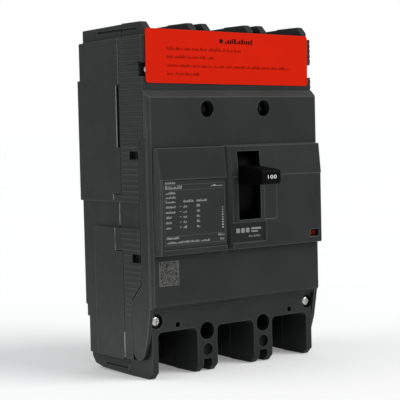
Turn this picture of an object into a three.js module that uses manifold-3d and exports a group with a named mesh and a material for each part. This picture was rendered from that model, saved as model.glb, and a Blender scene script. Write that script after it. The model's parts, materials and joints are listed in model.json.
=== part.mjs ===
// Three-pole molded case circuit breaker with its toggle in the tripped position.
//
// Units are millimetres. A point is written as (x, depth, height): x to the right seen from the
// front, depth forwards from the rear mounting plane, height upwards from the lower end.
// The group's own frame has +X right, +Y to the rear, +Z up and its origin at the centre of the
// rear mounting plane, so y = -depth and z = height - HEIGHT / 2.

import * as THREE from "three";
import { mergeVertices } from "three/addons/utils/BufferGeometryUtils.js";
import Module from "manifold-3d";

const wasm = await Module();
wasm.setup();

// ---------------------------------------------------------------- driving dimensions

const WIDTH = 105;
const HEIGHT = 165;
const HALF = WIDTH / 2;
const END_HALF = 50; // half width of the stepped-in terminal ends
const POLES = [-35, 0, 35];
const POLE_NAMES = ["left", "centre", "right"];
const PARTITIONS = [-17.5, 17.5];
const GAP = 0.3; // clearance between touching pieces
const WALL = 3;

const PARTING = 34.8; // depth of the joint between base housing and mid cover
const INNER_FACE = 49; // front plate of the mid cover, under the front cover
const TERMINAL_FACE = 53.1;
const COVER_FACE = 56.7;
const PANEL_FACE = 60;
const PLATE_FACE = PANEL_FACE - 0.8; // bottom of the recess under the toggle slot
// The rear face steps back behind both terminal ends.
const REAR_STEPS = [
  { low: -1, high: 25.2, depth: 2.8 },
  { low: 25, high: 31, depth: 1.2 },
  { low: 139.8, high: HEIGHT + 1, depth: 1.7 },
];
const FLANK_BAND = { low: 69.9, high: 82, inset: 1.3 }; // recessed band across both side walls
const FLANK_TOP = 158.5;

const POCKET_HALF = 11.5; // half width of a terminal pocket
const POCKET_HEIGHT = 21.6;
const POCKET_FLOOR = 16;
const CHAMBER_LOW = 25; // pole chambers run between these heights
const CHAMBER_HIGH = 140;
const CHAMBER_HALF = 49;
const CHAMBER_REAR = 4;
const CHAMBER_FRONT = 46;

const MOUNT_HOLE_HEIGHT = 19.5; // from either end
const CORNER_SCREWS = [
  { x: -47.1, height: 27, name: "cover_screw_lower_left" },
  { x: 47.1, height: 27, name: "cover_screw_lower_right" },
  { x: -47.1, height: 143, name: "cover_screw_upper_left" },
  { x: 47.1, height: 143, name: "cover_screw_upper_right" },
];
const LID_SCREW_HEIGHT = 124.6;

const BAR_REAR = 20; // rear face of the terminal bars
const BAR_THICK = 3.5;
const BAR_HALF = 10;
const BAR_NECK_HALF = 8;
const TERMINAL_SCREW_FROM_END = 11;
const LUG_GAP = 2.3; // room for a cable lug between the terminal bar and its screw head

const SLOT = { left: -1.8, right: 11.8, low: 71.6, high: 104.1 }; // toggle slot in the front cover
const TOGGLE_X = 5;
const TOGGLE_PIVOT = { depth: 16, height: 88 };
const SHUTTER_RADIUS = 40.3;

const CONTACT_AXIS = { depth: 17, height: 72 };
const CONTACT_TRAVEL = 24; // degrees from open to closed
const CROSSBAR_RADIUS = 6.5;

const DRIVE_PIN = { depth: 20.46, height: 84.69 };
const KNEE = { depth: 28, height: 79.2 };
const CRADLE_LINK = { depth: 35.5, height: 84.2 };
const CRADLE_AXIS = { depth: 32, height: 104 };
const TRIP_AXIS = { depth: 38.5, height: 54 };
const LATCH_AXIS = { depth: 31.5, height: 52 };
const HINGE = { depth: 46, height: 13.2 }; // front cover hinge, through both side arms
const HINGE_ARM_RADIUS = 4.5;
const BUTTON = { x: 46.8, height: 62.35 };
const PIN_SIDES = 12;

// ---------------------------------------------------------------- solid helpers

function solidOf(geometry) {
  const bare = geometry.clone();
  bare.deleteAttribute("normal");
  bare.deleteAttribute("uv");
  const merged = mergeVertices(bare, 1e-4);
  const mesh = new wasm.Mesh({
    numProp: 3,
    vertProperties: merged.attributes.position.array,
    triVerts: new Uint32Array(merged.index.array),
  });
  return new wasm.Manifold(mesh);
}

function join(...solids) {
  return solids.reduce((whole, next) => whole.add(next));
}

function cut(solid, ...tools) {
  return tools.reduce((rest, tool) => rest.subtract(tool), solid);
}

// Box between two x values, two depths and two heights.
function block(x0, x1, d0, d1, h0, h1) {
  const box = new THREE.BoxGeometry(x1 - x0, d1 - d0, h1 - h0);
  box.translate((x0 + x1) / 2, -(d0 + d1) / 2, (h0 + h1) / 2);
  return solidOf(box);
}

function outline(points) {
  return new THREE.Shape(points.map(([u, v]) => new THREE.Vector2(u, v)));
}

function extrude(shape, length, basis, segments) {
  const options = { depth: length, bevelEnabled: false, curveSegments: segments };
  const geometry = new THREE.ExtrudeGeometry(shape, options);
  geometry.applyMatrix4(basis);
  return solidOf(geometry);
}

// Side outline in (depth, height), extruded along x.
function fromSide(shape, x0, x1, segments = 6) {
  const basis = new THREE.Matrix4().set(0, 0, -1, x1, -1, 0, 0, 0, 0, 1, 0, 0, 0, 0, 0, 1);
  return extrude(shape, x1 - x0, basis, segments);
}

// Front outline in (x, height), extruded through the depth.
function fromFront(shape, d0, d1, segments = 4) {
  const basis = new THREE.Matrix4().set(1, 0, 0, 0, 0, 0, -1, -d0, 0, 1, 0, 0, 0, 0, 0, 1);
  return extrude(shape, d1 - d0, basis, segments);
}

// Plan outline in (x, depth), extruded upwards.
function fromAbove(shape, h0, h1, segments = 4) {
  const basis = new THREE.Matrix4().set(1, 0, 0, 0, 0, -1, 0, 0, 0, 0, -1, h1, 0, 0, 0, 1);
  return extrude(shape, h1 - h0, basis, segments);
}

function roundedRectangle(u0, u1, v0, v1, r) {
  const shape = new THREE.Shape();
  shape.moveTo(u0 + r, v0);
  shape.lineTo(u1 - r, v0);
  shape.absarc(u1 - r, v0 + r, r, -Math.PI / 2, 0, false);
  shape.lineTo(u1, v1 - r);
  shape.absarc(u1 - r, v1 - r, r, 0, Math.PI / 2, false);
  shape.lineTo(u0 + r, v1);
  shape.absarc(u0 + r, v1 - r, r, Math.PI / 2, Math.PI, false);
  shape.lineTo(u0, v0 + r);
  shape.absarc(u0 + r, v0 + r, r, Math.PI, Math.PI * 1.5, false);
  return shape;
}

// Round bar along x through (depth, height).
function rodAcross(at, radius, x0, x1, sides = PIN_SIDES) {
  const rod = new THREE.CylinderGeometry(radius, radius, x1 - x0, sides);
  rod.rotateZ(Math.PI / 2);
  rod.translate((x0 + x1) / 2, -at.depth, at.height);
  return solidOf(rod);
}

// Round bar along the depth at (x, height); endRadius lets it taper to the front.
function rodForward(x, height, radius, d0, d1, sides = 16, endRadius = radius) {
  const rod = new THREE.CylinderGeometry(radius, endRadius, d1 - d0, sides);
  rod.translate(x, -(d0 + d1) / 2, height);
  return solidOf(rod);
}

// Turns a solid about an axis along x; positive raises what lies in front of the axis.
function swing(solid, at, degrees) {
  return solid
    .translate([0, at.depth, -at.height])
    .rotate([-degrees, 0, 0])
    .translate([0, -at.depth, at.height]);
}

function mirrored(solid) {
  return join(solid, solid.mirror([1, 0, 0]));
}

// Flat link with a round eye at each end, in the side plane.
function linkPlate(a, b, radius, hole, x0, x1) {
  const length = Math.hypot(b.depth - a.depth, b.height - a.height);
  const angle = Math.atan2(b.height - a.height, b.depth - a.depth);
  const shape = new THREE.Shape();
  shape.absarc(0, 0, radius, Math.PI / 2, Math.PI * 1.5, false);
  shape.absarc(length, 0, radius, -Math.PI / 2, Math.PI / 2, false);
  for (const u of [0, length]) {
    const eye = new THREE.Path();
    eye.absarc(u, 0, hole, 0, Math.PI * 2, true);
    shape.holes.push(eye);
  }
  const flat = fromSide(shape, x0, x1).translate([0, -a.depth, a.height]);
  return swing(flat, a, THREE.MathUtils.radToDeg(angle));
}

// Coil of round wire between two points, with a straight hook length at each end.
function coilSpring(from, to, coilRadius, wireRadius, turns, hook) {
  const axis = new THREE.Vector3().subVectors(to, from);
  const length = axis.length();
  axis.normalize();
  const side = new THREE.Vector3(1, 0, 0);
  const up = new THREE.Vector3().crossVectors(axis, side);
  const body = length - 2 * hook;
  const stepsPerTurn = 8;
  const points = [from.clone()];
  for (let i = 0; i <= turns * stepsPerTurn; i += 1) {
    const t = i / stepsPerTurn;
    points.push(
      from
        .clone()
        .addScaledVector(axis, hook + (body * t) / turns)
        .addScaledVector(side, coilRadius * Math.cos(t * Math.PI * 2))
        .addScaledVector(up, coilRadius * Math.sin(t * Math.PI * 2)),
    );
  }
  points.push(to.clone());
  const wire = new THREE.CatmullRomCurve3(points);
  const section = new THREE.Shape();
  section.absarc(0, 0, wireRadius, 0, Math.PI * 2, false);
  const options = { steps: points.length - 1, bevelEnabled: false, curveSegments: 3, extrudePath: wire };
  return solidOf(new THREE.ExtrudeGeometry(section, options));
}

// ---------------------------------------------------------------- materials

function material(color, roughness, metalness = 0) {
  return new THREE.MeshStandardMaterial({ color, roughness, metalness });
}

const CASE_PLASTIC = material(0x3a3d3c, 0.55);
const TOGGLE_PLASTIC = material(0x131414, 0.4);
const BUTTON_PLASTIC = material(0xb3201a, 0.45);
const BARRIER_PLASTIC = material(0x6b4a2f, 0.7);
const RED_FILM = material(0xe62a10, 0.5);
const DARK_FILM = material(0x353837, 0.5);
const COPPER = material(0xb87343, 0.35, 1);
const TIN = material(0xa9aaa8, 0.45, 1);
const ZINC = material(0xc8c9c6, 0.3, 1);
const STEEL = material(0x8f9296, 0.4, 1);
const BLACK_OXIDE = material(0x2f2f31, 0.4, 1);
const BIMETAL = material(0xa59a86, 0.35, 1);

// ---------------------------------------------------------------- case shells

const FRONT_CUT = 70; // deeper than the whole object, for cuts that run out of the front
const OVERRUN = 1; // cuts run this far past the face that they open

// Front outline of a terminal pocket; its closed edge has rounded corners.
function pocketOutline(x, atTop) {
  const low = -OVERRUN;
  const shape = roundedRectangle(x - POCKET_HALF, x + POCKET_HALF, low, POCKET_HEIGHT, 2.5);
  if (!atTop) return shape;
  const high = HEIGHT + OVERRUN;
  return roundedRectangle(x - POCKET_HALF, x + POCKET_HALF, HEIGHT - POCKET_HEIGHT, high, 2.5);
}

// Pockets, mounting screw wells and phase barrier slots of both terminal ends.
function terminalEndCuts(fromDepth, toDepth, wellFloor, slotFloor) {
  const tools = [];
  for (const atTop of [false, true]) {
    const fromEnd = (distance) => (atTop ? HEIGHT - distance : distance);
    for (const x of POLES) {
      tools.push(fromFront(pocketOutline(x, atTop), fromDepth, toDepth));
      const outer = fromEnd(-OVERRUN);
      const inner = fromEnd(OVERRUN + 2);
      const low = Math.min(outer, inner);
      const high = Math.max(outer, inner);
      tools.push(block(x - POCKET_HALF, x + POCKET_HALF, fromDepth, toDepth, low, high));
    }
    for (const x of PARTITIONS) {
      tools.push(rodForward(x, fromEnd(MOUNT_HOLE_HEIGHT), 4.25, wellFloor, toDepth, 20));
      const low = Math.min(fromEnd(-OVERRUN), fromEnd(6));
      const high = Math.max(fromEnd(-OVERRUN), fromEnd(6));
      tools.push(block(x - 2.4, x + 2.4, slotFloor, toDepth, low, high));
    }
  }
  return join(...tools);
}

function chamber(x, d0, d1) {
  const left = x === POLES[0] ? -CHAMBER_HALF : x - POLES[2] / 2 + WALL / 2;
  const right = x === POLES[2] ? CHAMBER_HALF : x + POLES[2] / 2 - WALL / 2;
  return block(left, right, d0, d1, CHAMBER_LOW, CHAMBER_HIGH);
}

// Tongues with which the mid cover laps over the side walls of the base housing.
// grow makes the pocket in the base a clearance larger than the tongue itself.
function flankTongues(outer, bandOuter, grow) {
  const inner = HALF - 2.3 - grow;
  const front = PARTING + GAP;
  const tongue = join(
    block(inner, outer, 29 - grow, front, 59.3 - grow, FLANK_BAND.low),
    block(inner, bandOuter, 31.7 - grow, front, FLANK_BAND.low, FLANK_BAND.high),
    block(inner, outer, 28.8 - grow, front, FLANK_BAND.high, 85.5 + grow),
  );
  return mirrored(tongue);
}

function baseHousing() {
  const front = PARTING - GAP / 2;
  // Both ends and the upper edge of the side walls taper to the rear, as drafted walls do.
  const ends = outline([
    [0.5, 12],
    [2.8, 5.6],
    [5.3, 2.5],
    [12.2, 1],
    [front, 0.2],
    [front, HEIGHT - 0.3],
    [1.5, HEIGHT - 1.1],
    [1.5, 150],
    [0.5, 140],
  ]);
  const upperFlank = outline([
    [0, FLANK_BAND.high],
    [front, FLANK_BAND.high],
    [front, FLANK_TOP],
    [0, FLANK_TOP - 0.9],
  ]);
  const sideLow = 7.7;
  const inset = HALF - FLANK_BAND.inset;
  const padOutline = roundedRectangle(11, front, sideLow, FLANK_BAND.low, 2);
  let body = join(
    fromSide(upperFlank, -HALF, HALF),
    block(-inset, inset, 0, front, sideLow, FLANK_BAND.high + OVERRUN),
    fromSide(padOutline, -HALF, HALF, 3),
    fromSide(ends, -END_HALF, END_HALF),
  );
  body = cut(
    body,
    ...REAR_STEPS.map(({ low, high, depth }) => block(-HALF - OVERRUN, HALF + OVERRUN, -OVERRUN, depth, low, high)),
    ...POLES.map((x) => chamber(x, CHAMBER_REAR, front + OVERRUN)),
    terminalEndCuts(POCKET_FLOOR, front + OVERRUN, 12, 6),
  );
  const bosses = CORNER_SCREWS.map(({ x, height }) => rodForward(x, height, 3.2, CHAMBER_REAR, front));
  body = join(body, ...bosses);
  const tools = CORNER_SCREWS.map(({ x, height }) => rodForward(x, height, 1.9, 14, front + OVERRUN, PIN_SIDES));
  for (const fromEnd of [(d) => d, (d) => HEIGHT - d]) {
    for (const x of PARTITIONS) {
      tools.push(rodForward(x, fromEnd(MOUNT_HOLE_HEIGHT), 2.25, -OVERRUN, 13, PIN_SIDES));
    }
    for (const x of POLES) {
      // Opening for the terminal bar and the well behind its screw.
      const low = Math.min(fromEnd(POCKET_HEIGHT - OVERRUN), fromEnd(CHAMBER_LOW + OVERRUN));
      const high = Math.max(fromEnd(POCKET_HEIGHT - OVERRUN), fromEnd(CHAMBER_LOW + OVERRUN));
      const rear = BAR_REAR - GAP;
      const half = BAR_NECK_HALF + GAP;
      tools.push(block(x - half, x + half, rear, BAR_REAR + BAR_THICK + GAP, low, high));
      tools.push(rodForward(x, fromEnd(TERMINAL_SCREW_FROM_END), 5, 9, POCKET_FLOOR + OVERRUN));
    }
  }
  for (const x of PARTITIONS) {
    // Open bearing for the crossbar in each partition.
    const bearing = CROSSBAR_RADIUS + GAP;
    tools.push(rodAcross(CONTACT_AXIS, bearing, x - WALL, x + WALL, 24));
    tools.push(
      block(
        x - WALL,
        x + WALL,
        CONTACT_AXIS.depth,
        front + OVERRUN,
        CONTACT_AXIS.height - bearing,
        CONTACT_AXIS.height + bearing,
      ),
    );
  }
  // Snap groove for a terminal cover along each end wall.
  const groove = block(END_HALF - 1, FRONT_CUT, 15, 33.3, 3, 3.9);
  const upperGroove = block(END_HALF - 1, FRONT_CUT, 15, front + OVERRUN, 161.4, 162.3);
  // Long shadow gap along the parting line, above the tongues of the mid cover.
  const shadowGap = block(HALF - 1.6, FRONT_CUT, 32.6, front + OVERRUN, 107.6, 136.3);
  tools.push(mirrored(groove), mirrored(upperGroove), mirrored(shadowGap));
  return cut(body, ...tools, flankTongues(FRONT_CUT, FRONT_CUT, GAP));
}

function midCover() {
  const rear = PARTING + GAP / 2;
  const stepLow = 36;
  const stepHigh = 130.4;
  const core = outline([
    [rear, 0],
    [TERMINAL_FACE - 3, 0],
    [TERMINAL_FACE, 3],
    [TERMINAL_FACE, stepLow],
    [INNER_FACE, stepLow],
    [INNER_FACE, stepHigh],
    [TERMINAL_FACE, stepHigh],
    [TERMINAL_FACE, HEIGHT - 3],
    [TERMINAL_FACE - 3, HEIGHT],
    [rear, HEIGHT],
  ]);
  const flank = outline([
    [rear, 8.3],
    [41.2, 8.3],
    [41.2, 36.8],
    [INNER_FACE, 44.6],
    [INNER_FACE, 108.1],
    [TERMINAL_FACE, 112.2],
    [TERMINAL_FACE, FLANK_TOP + 0.3],
    [rear, FLANK_TOP],
  ]);
  const bandOuter = HALF - FLANK_BAND.inset;
  const band = block(bandOuter, FRONT_CUT, rear - OVERRUN, INNER_FACE + OVERRUN, FLANK_BAND.low, FLANK_BAND.high);
  let body = join(fromSide(core, -END_HALF, END_HALF), mirrored(fromSide(flank, END_HALF - 2, HALF)));
  body = cut(
    join(cut(body, mirrored(band)), flankTongues(HALF, bandOuter, 0)),
    ...POLES.map((x) => chamber(x, rear - OVERRUN, CHAMBER_FRONT)),
    terminalEndCuts(rear - OVERRUN, FRONT_CUT, rear - OVERRUN, rear - OVERRUN),
  );
  // Accessory pockets left and right of the mechanism, open towards the front cover.
  const pockets = [
    [-46, -9],
    [19.5, 46],
  ];
  const pocketLow = 68;
  const pocketHigh = 106;
  for (const [left, right] of pockets) {
    const outerLeft = Math.max(left - 2.5, -CHAMBER_HALF);
    const outerRight = Math.min(right + 2.5, CHAMBER_HALF);
    body = join(body, block(outerLeft, outerRight, 36, INNER_FACE, pocketLow - 2, pocketHigh + 2));
    body = cut(body, block(left, right, 38.5, INNER_FACE + OVERRUN, pocketLow, pocketHigh));
  }
  const bosses = CORNER_SCREWS.map(({ x, height }) => rodForward(x, height, 3.2, rear, INNER_FACE));
  const lidBosses = PARTITIONS.map((x) => rodForward(x, LID_SCREW_HEIGHT, 4, rear, INNER_FACE));
  body = join(body, ...bosses, ...lidBosses);

  const tools = [block(-4.6, 14.6, CHAMBER_FRONT - OVERRUN, INNER_FACE + OVERRUN, 60.5, 116.5)];
  for (const { x, height } of CORNER_SCREWS) {
    tools.push(rodForward(x, height, 1.95, rear - OVERRUN, INNER_FACE + 3, PIN_SIDES));
    tools.push(rodForward(x, height, 3.5, TERMINAL_FACE - 2.6, FRONT_CUT));
  }
  // The upper corner screws sit in notches that run out through the side walls.
  tools.push(mirrored(block(44, FRONT_CUT, TERMINAL_FACE - 2.6, FRONT_CUT, 139.8, 146.1)));
  for (const x of PARTITIONS) {
    tools.push(rodForward(x, LID_SCREW_HEIGHT, 1.95, 38, INNER_FACE + OVERRUN, PIN_SIDES));
    tools.push(rodForward(x, 10.4, 3.1, 50.6, FRONT_CUT));
    tools.push(block(x - WALL, x + WALL, rear - OVERRUN, 42, TRIP_AXIS.height - 4, TRIP_AXIS.height + 4));
  }
  for (const x of [POLES[0], POLES[2]]) {
    tools.push(rodForward(x, 24.3, 1.4, 45, FRONT_CUT, PIN_SIDES));
  }
  // Blind bearing holes for the hinge pins of the front cover.
  tools.push(mirrored(rodAcross(HINGE, 2, END_HALF - 1.9, END_HALF + OVERRUN)));
  // Guide for the trip button stem.
  tools.push(
    block(
      BUTTON.x - 2,
      BUTTON.x + 2,
      CHAMBER_FRONT - OVERRUN,
      INNER_FACE + OVERRUN,
      BUTTON.height - 1.5,
      BUTTON.height + 1.5,
    ),
  );
  // Latch windows in the flanks and the snap groove of the upper end wall.
  tools.push(mirrored(block(HALF - 2.5, FRONT_CUT, 42.2, INNER_FACE + OVERRUN, 102, 105.7)));
  tools.push(mirrored(block(HALF - 2.5, FRONT_CUT, 42.2, INNER_FACE + OVERRUN, 54.2, 58.1)));
  tools.push(mirrored(block(END_HALF - 1, FRONT_CUT, rear - OVERRUN, 47.1, 161.4, 162.3)));
  return cut(body, ...tools);
}

// Outline of a raised panel seen from the side; its sloping upper part ends in a small step.
function panelOutline(rear) {
  return outline([
    [rear, 57.5],
    [PANEL_FACE - 0.4, 57.5],
    [PANEL_FACE, 57.9],
    [PANEL_FACE, 92],
    [PANEL_FACE + 0.35, 92.2],
    [58.9, 107],
    [rear, 107],
  ]);
}

function hingeArmOutline() {
  const shape = new THREE.Shape();
  shape.moveTo(55.5, 112);
  shape.lineTo(53.4, 112);
  shape.lineTo(INNER_FACE + GAP, 107.9);
  shape.lineTo(INNER_FACE + GAP, 44.2);
  shape.lineTo(HINGE.depth - HINGE_ARM_RADIUS, 36.4);
  shape.lineTo(HINGE.depth - HINGE_ARM_RADIUS, HINGE.height);
  shape.absarc(HINGE.depth, HINGE.height, HINGE_ARM_RADIUS, Math.PI, Math.PI * 1.86, false);
  shape.lineTo(52.8, 19.2);
  shape.lineTo(55, 31);
  shape.lineTo(55.5, 36);
  return shape;
}

function frontCover() {
  const rim = TERMINAL_FACE + GAP;
  const blockSide = outline([
    [rim, 31],
    [COVER_FACE, 34.2],
    [COVER_FACE, 130.2],
    [rim, 133.5],
  ]);
  const plan = outline([
    [-HALF, INNER_FACE],
    [HALF, INNER_FACE],
    [HALF, 56.1],
    [HALF - 0.6, COVER_FACE],
    [-HALF + 2, COVER_FACE],
    [-HALF + 0.7, 55.8],
    [-HALF, 54],
  ]);
  const slab = fromSide(blockSide, -HALF, HALF).intersect(fromAbove(plan, 30, 135));
  const arms = mirrored(fromSide(hingeArmOutline(), END_HALF + GAP, HALF));
  // Two raised panels with sloped left flanks, and a groove between them.
  const leftPanel = outline([
    [-49.6, COVER_FACE - 1],
    [-9.3, COVER_FACE - 1],
    [-9.3, FRONT_CUT],
    [-48.3, FRONT_CUT],
    [-48.3, PANEL_FACE],
    [-49.6, COVER_FACE],
  ]);
  const rightPanel = outline([
    [-8, COVER_FACE - 1],
    [51.9, COVER_FACE - 1],
    [51.9, FRONT_CUT],
    [-5.4, FRONT_CUT],
    [-5.4, PANEL_FACE],
    [-8, COVER_FACE],
  ]);
  const panelBand = fromSide(panelOutline(COVER_FACE - 1), -HALF, HALF);
  const panels = join(fromAbove(leftPanel, 50, 110), fromAbove(rightPanel, 50, 110)).intersect(panelBand);
  let body = join(slab, arms, panels);

  const plate = 2.5;
  body = cut(
    body,
    block(-49.9, 49.9, INNER_FACE - OVERRUN, COVER_FACE - plate, 34.4, 130),
    block(-45, -11, COVER_FACE - plate - OVERRUN, PANEL_FACE - plate - 0.7, 60.5, 104),
    block(-4.2, 49.9, COVER_FACE - plate - OVERRUN, PANEL_FACE - plate, 60, 104.5),
  );
  // Bosses of the two front cover screws and the hinge pins.
  const bosses = PARTITIONS.map((x) => rodForward(x, LID_SCREW_HEIGHT, 5.2, INNER_FACE + GAP, COVER_FACE - OVERRUN));
  const pins = mirrored(rodAcross(HINGE, 1.7, END_HALF - 1.6, END_HALF + OVERRUN));
  body = join(body, ...bosses, pins);
  const tools = [
    block(SLOT.left, SLOT.right, INNER_FACE, FRONT_CUT, SLOT.low, SLOT.high),
    block(BUTTON.x - 2.9, BUTTON.x + 2.9, INNER_FACE, FRONT_CUT, BUTTON.height - 1.7, BUTTON.height + 1.7),
    block(-47.4, -9, PANEL_FACE - 0.7, FRONT_CUT, 60.3, 92),
    block(14.3, 22, PANEL_FACE - 0.3, FRONT_CUT, 71, 91.6),
    block(-8.5, 14.8, PLATE_FACE, FRONT_CUT, 60.6, 70),
  ];
  for (const x of PARTITIONS) {
    tools.push(rodForward(x, LID_SCREW_HEIGHT, 3.9, 50.8, FRONT_CUT, 20));
    tools.push(rodForward(x, LID_SCREW_HEIGHT, 1.95, INNER_FACE - OVERRUN, 52, PIN_SIDES));
  }
  return cut(body, ...tools);
}

// ---------------------------------------------------------------- labels

// Stuck on by hand, so it isn't quite level.
function lineEndLabel() {
  const centre = 148.65;
  const halfHeight = 12.45;
  const sheet = fromFront(roundedRectangle(-50, 50, -halfHeight, halfHeight, 1.5), 53.3, 53.55, 2);
  return sheet.rotate([0, 0.75, 0]).translate([0, 0, centre]);
}

function ratingLabel() {
  return fromFront(roundedRectangle(-47.1, -9.6, 60.6, 91.7, 0.6), PANEL_FACE - 0.5, PANEL_FACE - 0.25, 1);
}

// ---------------------------------------------------------------- current path

function lineTerminal(x) {
  const barFront = BAR_REAR + BAR_THICK;
  const body = join(
    block(x - BAR_HALF, x + BAR_HALF, BAR_REAR, barFront, 146.6, 162),
    block(x - BAR_NECK_HALF, x + BAR_NECK_HALF, BAR_REAR, barFront, 133, 147),
    block(x - 4, x + 4, 6, barFront, 133, 136.5),
    block(x - 4, x + 4, 6, 9, 101, 136.5),
    block(x - 3.5, x + 3.5, 9 - GAP, 11, 103, 109),
  );
  const screwHole = rodForward(x, HEIGHT - TERMINAL_SCREW_FROM_END, 4.3, BAR_REAR - OVERRUN, barFront + OVERRUN);
  return cut(body, screwHole);
}

function loadTerminal(x) {
  const barFront = BAR_REAR + BAR_THICK;
  const body = join(
    block(x - BAR_HALF, x + BAR_HALF, BAR_REAR, barFront, 3, 21),
    block(x - BAR_NECK_HALF, x + BAR_NECK_HALF, BAR_REAR, barFront, 20, 30),
    block(x - 5, x + 5, BAR_REAR, 22, 29, 54),
  );
  return cut(body, rodForward(x, TERMINAL_SCREW_FROM_END, 4.3, BAR_REAR - OVERRUN, barFront + OVERRUN));
}

// Hexagon socket screw with a round head, pointing to the rear.
function terminalScrew(x, height) {
  const seat = BAR_REAR + BAR_THICK + LUG_GAP;
  const body = join(rodForward(x, height, 6.5, seat, seat + 6), rodForward(x, height, 4, 11, seat + 1));
  return cut(body, rodForward(x, height, 3.4, seat + 2.5, seat + 7, 6));
}

// Stack of splitter plates with notched lower edges, held by two side walls.
function arcChute(x) {
  const low = 110;
  const high = 131;
  const margin = 0.5; // the plates stop short of the side walls' edges
  const plate = outline([
    [x - 11.75, low + margin],
    [x - 4.5, low + margin],
    [x, low + 9],
    [x + 4.5, low + margin],
    [x + 11.75, low + margin],
    [x + 11.75, high - margin],
    [x - 11.75, high - margin],
  ]);
  const pieces = [
    block(x - 12.5, x - 11, 12, 39.5, low, high),
    block(x + 11, x + 12.5, 12, 39.5, low, high),
  ];
  const plates = 7;
  for (let i = 0; i < plates; i += 1) {
    const depth = 13 + i * 4.1;
    pieces.push(fromFront(plate, depth, depth + 1.2));
  }
  return join(...pieces);
}

// Drawn with the contacts closed, then swung open to the tripped position.
function contactArm(x) {
  const side = outline([
    [14.5, 62],
    [19.5, 62],
    [19.5, 82],
    [17.5, 108.5],
    [13.6, 108.5],
    [14.5, 82],
  ]);
  const closed = join(fromSide(side, x - 2.2, x + 2.2), block(x - 3, x + 3, 11.4, 14, 103.5, 108.5));
  return swing(closed, CONTACT_AXIS, -CONTACT_TRAVEL);
}

// Flexible copper strip from the heater to the root of the contact arm.
function flexibleBraid(x) {
  const shape = new THREE.Shape();
  shape.moveTo(17.6, 50);
  shape.lineTo(19.4, 50);
  shape.bezierCurveTo(19.4, 56, 8.8, 53, 8.6, 58);
  shape.lineTo(7, 58);
  shape.bezierCurveTo(7.2, 51, 17.6, 54, 17.6, 50);
  return fromSide(shape, x - 4, x + 4, 5);
}

// ---------------------------------------------------------------- contact shaft and linkage

function crossbar() {
  let body = rodAcross(CONTACT_AXIS, CROSSBAR_RADIUS, -48.4, 48.4, 20);
  for (const x of POLES) {
    const slot = block(x - 2.5, x + 2.5, 14.2, 19.8, 60, 84);
    body = cut(body, swing(slot, CONTACT_AXIS, -CONTACT_TRAVEL));
  }
  const lug = linkPlate(CONTACT_AXIS, DRIVE_PIN, 2.8, 0.9, 4.4, 5.7);
  const drivePin = rodAcross(DRIVE_PIN, 1.2, 2.7, 5.5);
  const root = rodAcross(CONTACT_AXIS, CROSSBAR_RADIUS - 0.5, 3, 7);
  return join(body, lug, drivePin, root);
}

function lowerLink() {
  return linkPlate(DRIVE_PIN, KNEE, 2.4, 1.5, 2.9, 4.1);
}

function upperLink() {
  return linkPlate(KNEE, CRADLE_LINK, 2.4, 1.5, 4.5, 5.7);
}

function kneePin() {
  return rodAcross(KNEE, 1.2, 4.3, 12.6);
}

// Long latched lever that carries the linkage; it turns about its upper end.
function cradle() {
  const side = outline([
    [29, 107],
    [35, 107],
    [38.6, 84],
    [37.6, 62],
    [34.6, 62],
    [32.4, 84],
  ]);
  const pivot = rodAcross(CRADLE_AXIS, 1.8, 5, 9);
  const linkPin = rodAcross(CRADLE_LINK, 1.2, 4.4, 6.6);
  return join(cut(fromSide(side, 6.1, 7.9), pivot), linkPin);
}

function cradlePin() {
  return rodAcross(CRADLE_AXIS, 1.5, 5.8, 15.4);
}

function mechanismPlate(x0, x1, withPivots) {
  const side = outline([
    [CHAMBER_REAR + GAP, 60],
    [28, 60],
    [28, 47],
    [34.6, 47],
    [34.6, 58],
    [42, 62],
    [42, 98],
    [36, 109],
    [CHAMBER_REAR + GAP, 102],
    [CHAMBER_REAR + GAP, 80],
    [25, 80],
    [25, 64],
    [CHAMBER_REAR + GAP, 64],
  ]);
  const tools = [rodAcross(TOGGLE_PIVOT, 1.8, x0 - OVERRUN, x1 + OVERRUN)];
  if (withPivots) {
    tools.push(rodAcross(CRADLE_AXIS, 1.8, x0 - OVERRUN, x1 + OVERRUN));
    tools.push(rodAcross(LATCH_AXIS, 1.5, x0 - OVERRUN, x1 + OVERRUN));
  }
  return cut(fromSide(side, x0, x1), ...tools);
}

function mainSpring() {
  const x = 10.6;
  const knee = new THREE.Vector3(x, -(KNEE.depth + 1.6), KNEE.height + 1.4);
  const yoke = new THREE.Vector3(x, -41.7, 91);
  return coilSpring(knee, yoke, 1.3, 0.35, 9, 2);
}

// ---------------------------------------------------------------- toggle

function toggleLever() {
  const halfWidth = 5.9;
  const neck = outline([
    [54.5, 88],
    [75.2, 88.6],
    [76, 89.4],
    [76, 94.6],
    [75.2, 95.5],
    [60, 97.2],
    [54.5, 97.6],
  ]);
  const stem = outline([
    [44.6, 88.6],
    [56, 88],
    [56, 97.6],
    [44.6, 95.6],
  ]);
  const shutterLow = THREE.MathUtils.degToRad(-30);
  const shutterHigh = THREE.MathUtils.degToRad(42);
  const shutter = new THREE.Shape();
  shutter.absarc(TOGGLE_PIVOT.depth, TOGGLE_PIVOT.height, SHUTTER_RADIUS, shutterLow, shutterHigh, false);
  shutter.absarc(TOGGLE_PIVOT.depth, TOGGLE_PIVOT.height, SHUTTER_RADIUS - 1.5, shutterHigh, shutterLow, true);
  return join(
    fromSide(neck, TOGGLE_X - halfWidth, TOGGLE_X + halfWidth),
    fromSide(stem, TOGGLE_X - halfWidth, TOGGLE_X + halfWidth),
    fromSide(shutter, TOGGLE_X - 8.9, TOGGLE_X + 8.9, 16),
  );
}

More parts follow.
